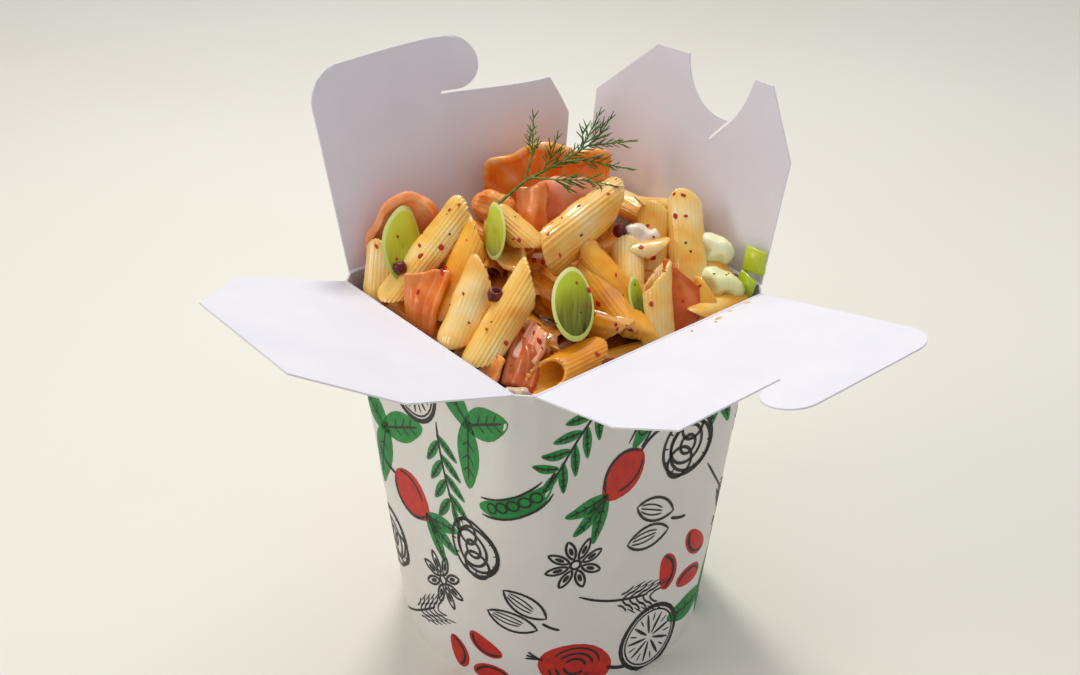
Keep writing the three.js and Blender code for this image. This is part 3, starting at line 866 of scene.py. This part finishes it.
# Each branch of the dill: its points, its thickness at the foot, and how far along it the needles begin
DILL = (
    (((-16.6, -7.3, 142), (-15.4, 1.8, 147), (-13.2, 14.2, 150.5), (-12.2, 23.8, 153.5), (-8.4, 35.2, 153)),
     1.1, 0.4),
    (((-15.4, 1.8, 147), (-17.9, 6.6, 153), (-22.8, 11.1, 160)), 0.7, 0.35),
    (((-15, 4, 147.6), (-6.5, 8.5, 148.5), (-1.5, 14.5, 148.5), (3.2, 17.5, 148)), 0.7, 0.3),
    (((-13.2, 14.2, 150.5), (-8.4, 18.8, 151.5), (0, 26.1, 150)), 0.7, 0.3),
    (((-12.5, 21, 152.5), (-13.3, 25, 156), (-13.9, 28.3, 159.5)), 0.6, 0.1),
    (((-12.2, 24.5, 153.5), (-11.5, 28, 156), (-11.3, 30.2, 158.5)), 0.6, 0.1),
    (((-14.4, 8, 148.8), (-14.6, 11, 152), (-15.2, 13, 155)), 0.5, 0.1),
)


def needle_fork():
    """A dill needle of length one along +X, which parts in four."""
    pattern = tapering_rod("needle_pattern", 0.4)
    parts = (
        ((0, 0, 0), (0.6, 0, 0)),
        ((0.6, 0, 0), (1.1, 0.1, 0)),
        ((0.5, 0, 0), (0.95, -0.28, 0.06)),
        ((0.25, 0, 0), (0.7, 0.27, -0.05)),
    )
    fork = joined([rod(pattern, start, end, 0.1, "needle") for start, end in parts], "needle_fork")
    discard(pattern)
    return fork


def build_dill():
    """A sprig of dill: thin branches, with forked needles on both sides of each."""
    chance = random.Random(4)
    needle_gap, tip_needle, foot_needle = 1.9, 3.5, 7
    stem = tapering_rod("dill_stem_pattern", 0.8)
    fork = needle_fork()
    stems = []
    needles = []

    def grow(foot, way, length):
        needles.append(rod(fork, foot, foot + way.normalized() * length, length, "needle"))

    for points, thickness, bare in DILL:
        points = [Vector(p) for p in points]
        total = sum((b - a).length for a, b in zip(points, points[1:]))
        run = 0
        for a, b in zip(points, points[1:]):
            way = b - a
            stems.append(rod(stem, a, b, thickness * (1 - 0.6 * run / total), "stem"))
            side = way.cross(BACK).normalized()
            steps = max(int(way.length / needle_gap), 1)
            for step in range(steps):
                along = (run + way.length * step / steps) / total
                if along < bare:
                    continue
                for hand in (-1, 1):
                    lean = side * hand * chance.uniform(0.25, 0.75) + BACK * chance.uniform(-0.4, 0.4)
                    length = foot_needle + (tip_needle - foot_needle) * along
                    length *= chance.uniform(0.6, 1.2)
                    grow(a + way * (step / steps), way.normalized() + lean, length)
            run += way.length
        grow(points[-1], points[-1] - points[-2], 5)
    discard(stem, fork)
    finished(joined(stems, "dill_stems"), dill_stem, "box", "leek_green")
    finished(joined(needles, "dill_needles"), dill_leaf, "box", "leek_green")


def seen(ground, u, v):
    """The point and normal on a surface, in millimetres, that the photo shows at one of its pixels."""
    right = Vector((math.cos(AZIMUTH), math.sin(AZIMUTH), 0))
    up = BACK.cross(right)
    way = (right * (u - FRAME_WIDTH / 2) - up * (v - FRAME_HEIGHT / 2)) / FOCAL_PIXELS - BACK
    place, normal, _, _ = ground.ray_cast(TARGET + BACK * DISTANCE, way.normalized())
    return place, normal


def settled(piece, place, normal, heading, sink):
    """Lays a piece that was made on the ground plane onto a surface, sunk in by so many millimetres."""
    turn = normal.to_track_quat("Z", "Y").to_matrix().to_4x4() @ Matrix.Rotation(heading, 4, "Z")
    return fixed(piece, Matrix.Translation(place - normal * sink) @ turn)


# Pixels of the photo where pepper flakes show, and where each peppercorn lies, cracked (1) or whole (0)
FLAKES_SEEN = (
    (476, 216), (441, 247), (420, 246), (421, 256), (442, 272), (418, 292), (514, 239), (519, 240),
    (534, 260), (543, 262), (506, 343), (489, 278), (376, 246), (539, 341), (542, 348), (552, 352),
    (531, 391), (608, 194), (579, 206), (548, 234), (560, 255), (616, 275), (647, 226), (641, 247),
    (653, 258), (664, 271), (675, 216), (686, 216), (683, 195), (674, 194), (589, 290), (598, 304),
    (631, 330), (651, 304), (597, 354), (446, 268),
)
PEPPERCORNS_SEEN = ((624, 231, 0), (498, 297, 1), (403, 270, 1))

# Pixels of the photo where drops of sauce lie on the right flap, with the size of each
SMEARS_SEEN = ((719, 318, 1.3), (716, 322, 0.9), (746, 303, 1.1), (692, 331, 0.8), (730, 311, 0.7))


def build_smears():
    """Drops of sauce on the right flap, beside its crease."""
    ground = surface_of(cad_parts["flap_right"])
    drops = []
    for number, (u, v, size) in enumerate(SMEARS_SEEN):
        place, normal = seen(ground, u, v)
        if place is None:
            continue
        bpy.ops.mesh.primitive_uv_sphere_add(segments=16, ring_count=8, radius=1)
        drop = started("drop")
        with editing(drop):
            bpy.ops.transform.resize(value=(size, size * 0.6, 0.35))
        pull(drop, (size, 0, 0), (size * 0.5, 0.3, 0), size * 0.8)
        drops.append(settled(drop, place, normal, number * 1.3, 0.1))
    finished(joined(drops, "sauce_drops"), cream_sauce, "right_flap", "penne")


def flake_pattern(name, size):
    """A thin six-sided flake with sloping edges."""
    bpy.ops.mesh.primitive_circle_add(vertices=6, radius=size / 2, fill_type="NGON")
    flake = started(name)
    with editing(flake):
        bpy.ops.mesh.extrude_region_move(TRANSFORM_OT_translate={"value": (0, 0, 0.25)})
        bpy.ops.transform.resize(value=(0.6, 0.7, 1))
    with editing(flake):
        bpy.ops.mesh.normals_make_consistent(inside=False)
    return flake


def surface_of(*pieces):
    """The finished pieces as one surface to lay things on, in millimetres."""
    corners = []
    faces = []
    for piece in pieces:
        start = len(corners)
        corners += [v.co / MM for v in piece.data.vertices]
        faces += [[start + i for i in face.vertices] for face in piece.data.polygons]
    return BVHTree.FromPolygons(corners, faces)


def build_pepper(food):
    """Flakes where the photo shows them and more at random, brown flecks, and three peppercorns."""
    chance = random.Random(11)
    reach_x, reach_y, above, lowest = 38, 40, 170, 112
    ground = surface_of(*food)
    kinds = (
        (flake_pattern("red_flakes", 1.9), 40, 0.7, pepper_red),
        (flake_pattern("brown_flecks", 1.1), 55, 0.8, pepper_brown),
    )
    for pattern, count, size, finish in kinds:
        flakes = []
        spots = [seen(ground, u, v) for u, v in FLAKES_SEEN] if finish is pepper_red else []
        spots = [spot for spot in spots if spot[0] is not None]
        seen_count = len(spots)
        for _ in range(count):
            over = Vector((chance.uniform(-reach_x, reach_x), chance.uniform(-reach_y, reach_y), above))
            place, normal, _, _ = ground.ray_cast(over, Vector((0, 0, -1)))
            if place is not None and place.z > lowest:
                spots.append((place, normal))
        for number, (place, normal) in enumerate(spots):
            scale = chance.uniform(0.8, 1.3) * (1 if number < seen_count else size)
            narrow = scale * chance.uniform(0.35, 0.95)
            flake = lay(copied(pattern, "flake"), (0, 0, 0), stretch=(scale, narrow, 1))
            flakes.append(settled(flake, place, normal, chance.uniform(0, 6), 0.05))
        name = pattern.name
        discard(pattern)
        finished(joined(flakes, name), finish, "box", "salmon")
    for number, (u, v, cracked) in enumerate(PEPPERCORNS_SEEN):
        place, normal = seen(ground, u, v)
        bpy.ops.mesh.primitive_ico_sphere_add(subdivisions=3, radius=2.2)
        corn = started(f"pink_peppercorn_{number}")
        if cracked:
            pull(corn, (1, -1, 2), (-0.6, 0.8, -2.2), 1.6)
            pull(corn, (-2.5, 0, 0), (-0.6, 0, 0.6), 1.2)
        unevened(corn, clouds("wrinkles", 1.4), 0.5)
        settled(corn, place, normal, 1.0 + number, -1.4)
        smooth(corn, 60)
        finished(corn, peppercorn, "box", "salmon")


# Print

INK_WEIGHT = 1.4


def around(radius, degrees):
    """The point at this distance and angle from the origin."""
    return radius * math.cos(math.radians(degrees)), radius * math.sin(math.radians(degrees))


def mark(length, width, bend=0, taper=0.4, cells=10):
    """A flat stroke along +X through the origin, bent towards +Y and narrowed at its ends."""
    bpy.ops.mesh.primitive_grid_add(x_subdivisions=cells, y_subdivisions=1, size=1)
    stroke = started("mark")
    with editing(stroke):
        bpy.ops.transform.resize(value=(length, INK_WEIGHT * width, 1))
    with editing(stroke, lambda v: abs(v.co.x) > 0.49 * length):
        bpy.ops.transform.resize(value=(1, taper, 1))
    if bend:
        bend_along(stroke, bend, "Z")
    return stroke


def ring(radius, width):
    """A closed stroke round the origin."""
    return lay(mark(2 * math.pi * radius, width, 360, 1, 28), (0, -radius, 0))


def blob(length, width, point=0, bend=0):
    """A filled oval along +X, drawn out to a point at one end or both."""
    bpy.ops.mesh.primitive_circle_add(vertices=20, radius=0.5, fill_type="TRIFAN")
    patch = started("blob")
    with editing(patch):
        bpy.ops.mesh.subdivide(number_cuts=2 if length < 12 else 3)
        bpy.ops.transform.resize(value=(length, width, 1))
    if point:
        pull(patch, (length / 2, 0, 0), (point, 0, 0), width * 0.6)
        pull(patch, (-length / 2, 0, 0), (-point / 2, 0, 0), width * 0.6)
    if bend:
        bend_along(patch, bend, "Z")
    return patch


class Motif:
    """One printed drawing, in millimetres on the ground plane, with its colours kept apart."""

    def __init__(self):
        self.layers = {"red": [], "green": [], "ink": []}

    def put(self, layer, piece, x=0, y=0, turn=0):
        """Adds a piece at a place and turn, in the colour of a layer."""
        self.layers[layer].append(lay(piece, (x, y, 0), turn))

    def leaf(self, length, width, x, y, turn):
        """A green leaf that starts at a place, with its ribs in ink."""
        foot = Vector((x, y))
        rib = width * 0.36
        rib_lean = math.degrees(0.8)
        self.put("green", blob(length, width, width * 0.35), *foot + Vector(around(length / 2, turn)), turn)
        self.put("ink", mark(length * 1.05, 0.45), *foot + Vector(around(length / 2, turn)), turn)
        for along in (0.3, 0.55, 0.78):
            start = foot + Vector(around(along * length, turn))
            for lean in (turn - rib_lean, turn + rib_lean):
                self.put("ink", mark(rib, 0.3, cells=3), *start + Vector(around(rib / 2, lean)), lean)


def draw_radish(m):
    m.put("red", blob(14, 13, 1.5), 0, -3, 90)
    m.put("ink", mark(10, 0.7, 50), 0.5, -15, 80)
    m.put("ink", mark(19, 0.7, 150), 6.4, -3, 90)
    m.put("ink", mark(12, 0.5, 90), -4.5, -4, -90)
    for turn in (60, 92, 125):
        m.leaf(12, 4.6, 0, 4.5, turn)


def draw_onion(m):
    m.put("red", blob(19, 17, 1.5), 0, 0, 90)
    for radius, width in ((7, 0.5), (5, 0.6), (2.9, 0.7)):
        m.put("ink", mark(2.4 * radius, width, 140), -radius, 0, -90)
        m.put("ink", mark(2.4 * radius, width, 140), radius, 0, 90)
    for turn in (-110, -90, -70):
        m.put("ink", mark(5, 0.5), around(1.5, turn)[0], -11.5, turn)
    m.put("ink", mark(7, 0.9, 30), 0, 13, 90)


def draw_olive(m):
    m.put("ink", mark(27, 0.6, 20), 0, 0, 0)
    for step in range(4):
        x = -9 + 6 * step
        m.leaf(9, 3.4, x, 0.3, 48)
        m.leaf(9, 3.4, x + 2, -0.3, -48)
    m.leaf(9, 3.2, 12, 1, 6)


def draw_sage(m):
    for turn, length in ((20, 17), (150, 15), (268, 14)):
        m.leaf(length, 8.5, 0, 0, turn)


def draw_pea(m):
    m.put("green", blob(25, 7.5, 3, 50), 0, 0)
    for step in range(5):
        m.put("ink", ring(1.7, 0.45), -7.6 + 3.8 * step, 0.6 + 0.09 * (step - 2) ** 2)
    m.put("ink", mark(27, 0.6, 55), 0, -3.6)
    m.put("ink", mark(24, 0.5, 40), 0, 3.2)
    m.put("ink", mark(5, 0.7, -40), 15, 4.5, 30)


def draw_lemon(m):
    for radius, width in ((9.5, 0.9), (8.2, 0.35)):
        m.put("ink", ring(radius, width))
    for turn in range(0, 360, 40):
        m.put("ink", mark(6, 0.6, cells=3), *around(4.3, turn), turn)
        m.put("ink", mark(2.4, 0.3, cells=3), *around(6, turn + 20), turn + 20)


def draw_wheat(m):
    m.put("ink", mark(28, 0.6, 12), -2, 0)
    for step in range(5):
        for hand in (-1, 1):
            x = 1 + 3 * step
            m.put("ink", mark(5.2, 0.45, 50 * hand), x + 1.6, hand * 2.6, hand * 28)
            m.put("ink", mark(5.2, 0.45, -50 * hand), x + 2.2, hand * 1.6, hand * 28)
            m.put("ink", mark(5, 0.3, cells=3), x + 6, hand * 4.4, hand * 24)


def draw_anise(m):
    for turn in range(0, 360, 45):
        x, y = around(5.6, turn)
        across, up = around(1.3, turn - 90)
        m.put("ink", mark(8, 0.55, 80), x + across, y + up, turn)
        m.put("ink", mark(8, 0.55, -80), x - across, y - up, turn)
        m.put("ink", blob(3, 1.3), x * 0.95, y * 0.95, turn)
    m.put("ink", ring(1.5, 0.6))


def draw_beans(m):
    for x, y, turn in ((-5, 3, 30), (5, 4, -50), (0, -5, 170)):
        m.put("red", blob(11, 6, 0, 70), x, y, turn)
        m.put("ink", mark(12, 0.6, 130), x + around(1.5, turn)[1], y - around(2, turn)[0], turn)


def draw_garlic(m):
    """Two cloves side by side, lined from tip to foot."""
    for x, turn in ((-4, 80), (4.5, 102)):
        for hand in (-1, 1):
            across, up = around(3.6 * hand, turn - 90)
            m.put("ink", mark(18, 0.6, 100 * hand), x + across, up, turn)
        for step in (-1, 0, 1):
            m.put("ink", mark(9, 0.35, 40 * step), x + 1.6 * step, -1.5, turn)
    m.put("ink", mark(6, 0.7, 30), 0, 10.5, 90)


def draw_onion_rings(m):
    """A tangle of rings of sliced onion."""
    rings = ((0, 0, 8.5), (1, 0.6, 6.9), (-0.6, -0.4, 5.4), (3, -4, 4.2), (-4, 3, 3.6), (0, 0, 2.6))
    for x, y, radius in rings:
        m.put("ink", ring(radius, 0.65), x, y)
    for turn in range(0, 360, 30):
        m.put("ink", mark(1.6, 0.35, cells=2), *around(7.7, turn), turn)


# Each drawing, with its scale
DRAWINGS = (
    (draw_lemon, 1.25), (draw_radish, 1.2), (draw_wheat, 1.0), (draw_sage, 1.2), (draw_onion_rings, 1.2),
    (draw_beans, 1.25), (draw_olive, 1.05), (draw_anise, 1.15), (draw_onion, 1.15), (draw_pea, 1.05),
    (draw_garlic, 1.1),
)
PRINT_ROWS = (11, 33, 55, 77, 99)


def build_print(ground):
    """The drawings, scattered in staggered rows round the wall, each colour one film of ink."""
    chance = random.Random(21)
    motifs = []
    for draw, scale in DRAWINGS:
        motif = Motif()
        draw(motif)
        layers = {layer: joined(parts, layer) for layer, parts in motif.layers.items() if parts}
        for piece in layers.values():
            lay(piece, (0, 0, 0), stretch=(scale, scale, 1))
        motifs.append(layers)
    films = {"red": [], "green": [], "ink": []}
    for row, height in enumerate(PRINT_ROWS):
        columns = len(DRAWINGS)
        for column in range(columns):
            angle = 2 * math.pi * (column + 0.5 * (row % 2)) / columns + chance.uniform(-0.03, 0.03)
            rise = height + chance.uniform(-1.5, 1.5)
            turn = math.pi / 4 * (1 + 2 * ((row + column) % 4)) + chance.uniform(-0.5, 0.5)
            size = chance.uniform(0.95, 1.05)
            motif = motifs[(3 * column + 5 * row) % columns]
            way = Vector((math.cos(angle), math.sin(angle), 0))
            _, place, normal, _ = ground.ray_cast(Vector((0, 0, rise)), way)
            for layer, piece in motif.items():
                twin = lay(copied(piece, layer), (0, 0, 0), stretch=(size, size, 1))
                films[layer].append(settled(twin, place, normal, turn, -0.5))
    finishes = {"red": (ink_red, 0.05), "green": (ink_green, 0.05), "ink": (ink_black, 0.1)}
    for layer, (finish, lift) in finishes.items():
        film = joined(films[layer], "print_" + layer)
        modify(
            film, "SHRINKWRAP", target=ground, wrap_method="NEAREST_SURFACEPOINT",
            wrap_mode="ABOVE_SURFACE", offset=lift)
        modify(film, "SOLIDIFY", thickness=0.03, offset=1)
        finished(film, finish, "box", "paperboard")
    discard(ground, *[piece for motif in motifs for piece in motif.values()])


# Light, floor and camera

def add_camera():
    """The photo's viewpoint, on the middle of the box."""
    data = bpy.data.cameras.new("camera")
    data.sensor_width = SENSOR
    data.lens = FOCAL_PIXELS / FRAME_WIDTH * SENSOR
    data.clip_start = 0.01
    camera = bpy.data.objects.new("camera", data)
    bpy.context.scene.collection.objects.link(camera)
    camera.location = (TARGET + DISTANCE * BACK) * MM
    camera.rotation_euler = BACK.to_track_quat("Z", "Y").to_euler()
    bpy.context.scene.camera = camera


def area_light(name, place, size, watts, colour):
    """A round lamp that faces the mouth of the box."""
    mouth = Vector((0, 0, 0.1))
    data = bpy.data.lights.new(name, "AREA")
    data.shape = "DISK"
    data.size = size
    data.energy = watts
    data.color = linear(colour)[:3]
    light = bpy.data.objects.new(name, data)
    bpy.context.scene.collection.objects.link(light)
    light.location = place
    light.rotation_euler = (Vector(place) - mouth).to_track_quat("Z", "Y").to_euler()


def set_stage():
    """A floor of matt cream paper, which shows as an even pale ground, and soft studio light."""
    bpy.ops.mesh.primitive_grid_add(x_subdivisions=8, y_subdivisions=8, size=60)
    floor = started("floor")
    paper = Finish("cream_backdrop_paper", Roughness=0.8)
    tone = paper.ramp(paper.noise(400), (0.3, "#ECE9DC"), (0.7, "#F1EFE4"))
    floor.data.materials.append(paper.wear(Base_Color=tone))
    world = bpy.data.worlds.new("soft_room")
    bpy.context.scene.world = world
    world.use_nodes = True
    sky = world.node_tree.nodes["Background"]
    sky.inputs["Color"].default_value = linear("#F5F4FA")
    sky.inputs["Strength"].default_value = 0.5
    area_light("overhead", (-0.15, 0.2, 1.1), 0.9, 2.2, "#F6F7FF")
    area_light("window", (-0.32, 0.16, 0.8), 0.15, 2.6, "#FFFCF4")
    area_light("front_left", (-0.5, -1.0, 0.7), 0.5, 3.0, "#FFF6EA")
    scene = bpy.context.scene
    scene.view_settings.view_transform = "Standard"
    scene.view_settings.look = "None"


add_camera()
set_stage()

board = coated_board()
printed = printed_board()
pastas = (
    cooked_pasta("penne_in_cream_sauce", "#F2A228", "#FFCC62", "#FFE4A8"),
    cooked_pasta("pale_penne_in_cream_sauce", "#F2AC3C", "#FCCC6C", "#FEE2A6"),
    cooked_pasta("amber_penne_in_sauce", "#E28A00", "#FAA60A", "#FFC244"),
)
# Painted shade: the quills below take a darker, deeper amber copy of the pasta finish.
shaded_pasta_below = cooked_pasta("penne_below_in_sauce", "#CC7404", "#E69610", "#F2B23A")
# The finish of the core is painted shade.
core_painted_shade = painted_shade_core()

print_ground = build_wall()
crease_beads()
build_bent_flap()
for side in ("front", "right", "back"):
    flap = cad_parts["flap_" + side]
    flap.data.materials.clear()
    flap.data.materials.append(board)

salmon_orange = smoked_salmon("smoked_salmon", "#FF8620", "#FFA440", "#FFC27A", "#FFD4AC", 5.2, 0.34)
salmon_pink = smoked_salmon("smoked_salmon_pink", "#F47E50", "#FF9E74", "#FFC2A2", "#FFD6BE", 1.2, 0.25)
salmon_deep = smoked_salmon("smoked_salmon_deep", "#B04410", "#C65A1E", "#DE8048", "#F0A880", 1.2, 0.25)
salmon_pale = smoked_salmon("smoked_salmon_pale", "#E26C1E", "#EE8A40", "#F6AA72", "#FAC498", 1.0, 0.15)
salmon_rose = smoked_salmon("smoked_salmon_rose", "#F07C34", "#FA9C58", "#FFBC88", "#FFCCA8", 1.4, 0.1)
salmon_lined = smoked_salmon("smoked_salmon_lined", "#DC6414", "#EA7E2A", "#F49C50", "#F8BC8C", 1.26, 0.3)
salmon_fat = smoked_salmon("smoked_salmon_edge", "#DC7040", "#F09E74", "#F8CEB0", "#FAE2CE", 1.5)
salmon_plain = smoked_salmon("smoked_salmon_plain", "#C04C00", "#D25A04", "#E6761C", "#EE9A58", 0.3)
leek_pale = leek_skin("leek_heart", ("#C8CC68", "#E2E494", "#FAFACC"), 112, 131)
leek_white = leek_skin("leek_white", ("#DCBE9E", "#EAD6BC", "#F4E8D6"), 105, 140)
leek_bright = leek_skin("leek_leaf", ("#7E9C04", "#A6BC18", "#C4D034"), 115, 130)

cream_sauce = plain_food("cream_sauce", "#E0A268", "#F0C48E", 2, roughness=0.3, coat=0.6)
dill_stem = plain_food("dill_stem", "#42641A", "#6E8C38", 2, roughness=0.6, coat=0)
dill_leaf = plain_food("dill_leaf", "#264C06", "#557E1A", 2, roughness=0.65, coat=0)
pepper_red = plain_food("pepper_flake", "#A00C06", "#D4301A", 1.2, roughness=0.5, coat=0)
pepper_brown = plain_food("pepper_fleck", "#3A1408", "#7A3412", 1)
peppercorn = plain_food("pink_pepper_husk", "#1E0002", "#8A0404", 1.8, roughness=0.4, coat=0.2)
ink_red = printing_ink("offset_red", "#BE1A0E", "#D2260F")
ink_green = printing_ink("offset_green", "#0A7E30", "#12963C")
ink_black = printing_ink("offset_black", "#1C1A18", "#2A2724")

build_lying_penne()
build_filler_penne()
build_core()
build_salmon()
build_leek()
build_dill()
build_pepper([
    piece for piece in bpy.data.objects if piece.type == "MESH" and piece.name.startswith(FOOD_NAMES)])
build_smears()
build_print(print_ground)
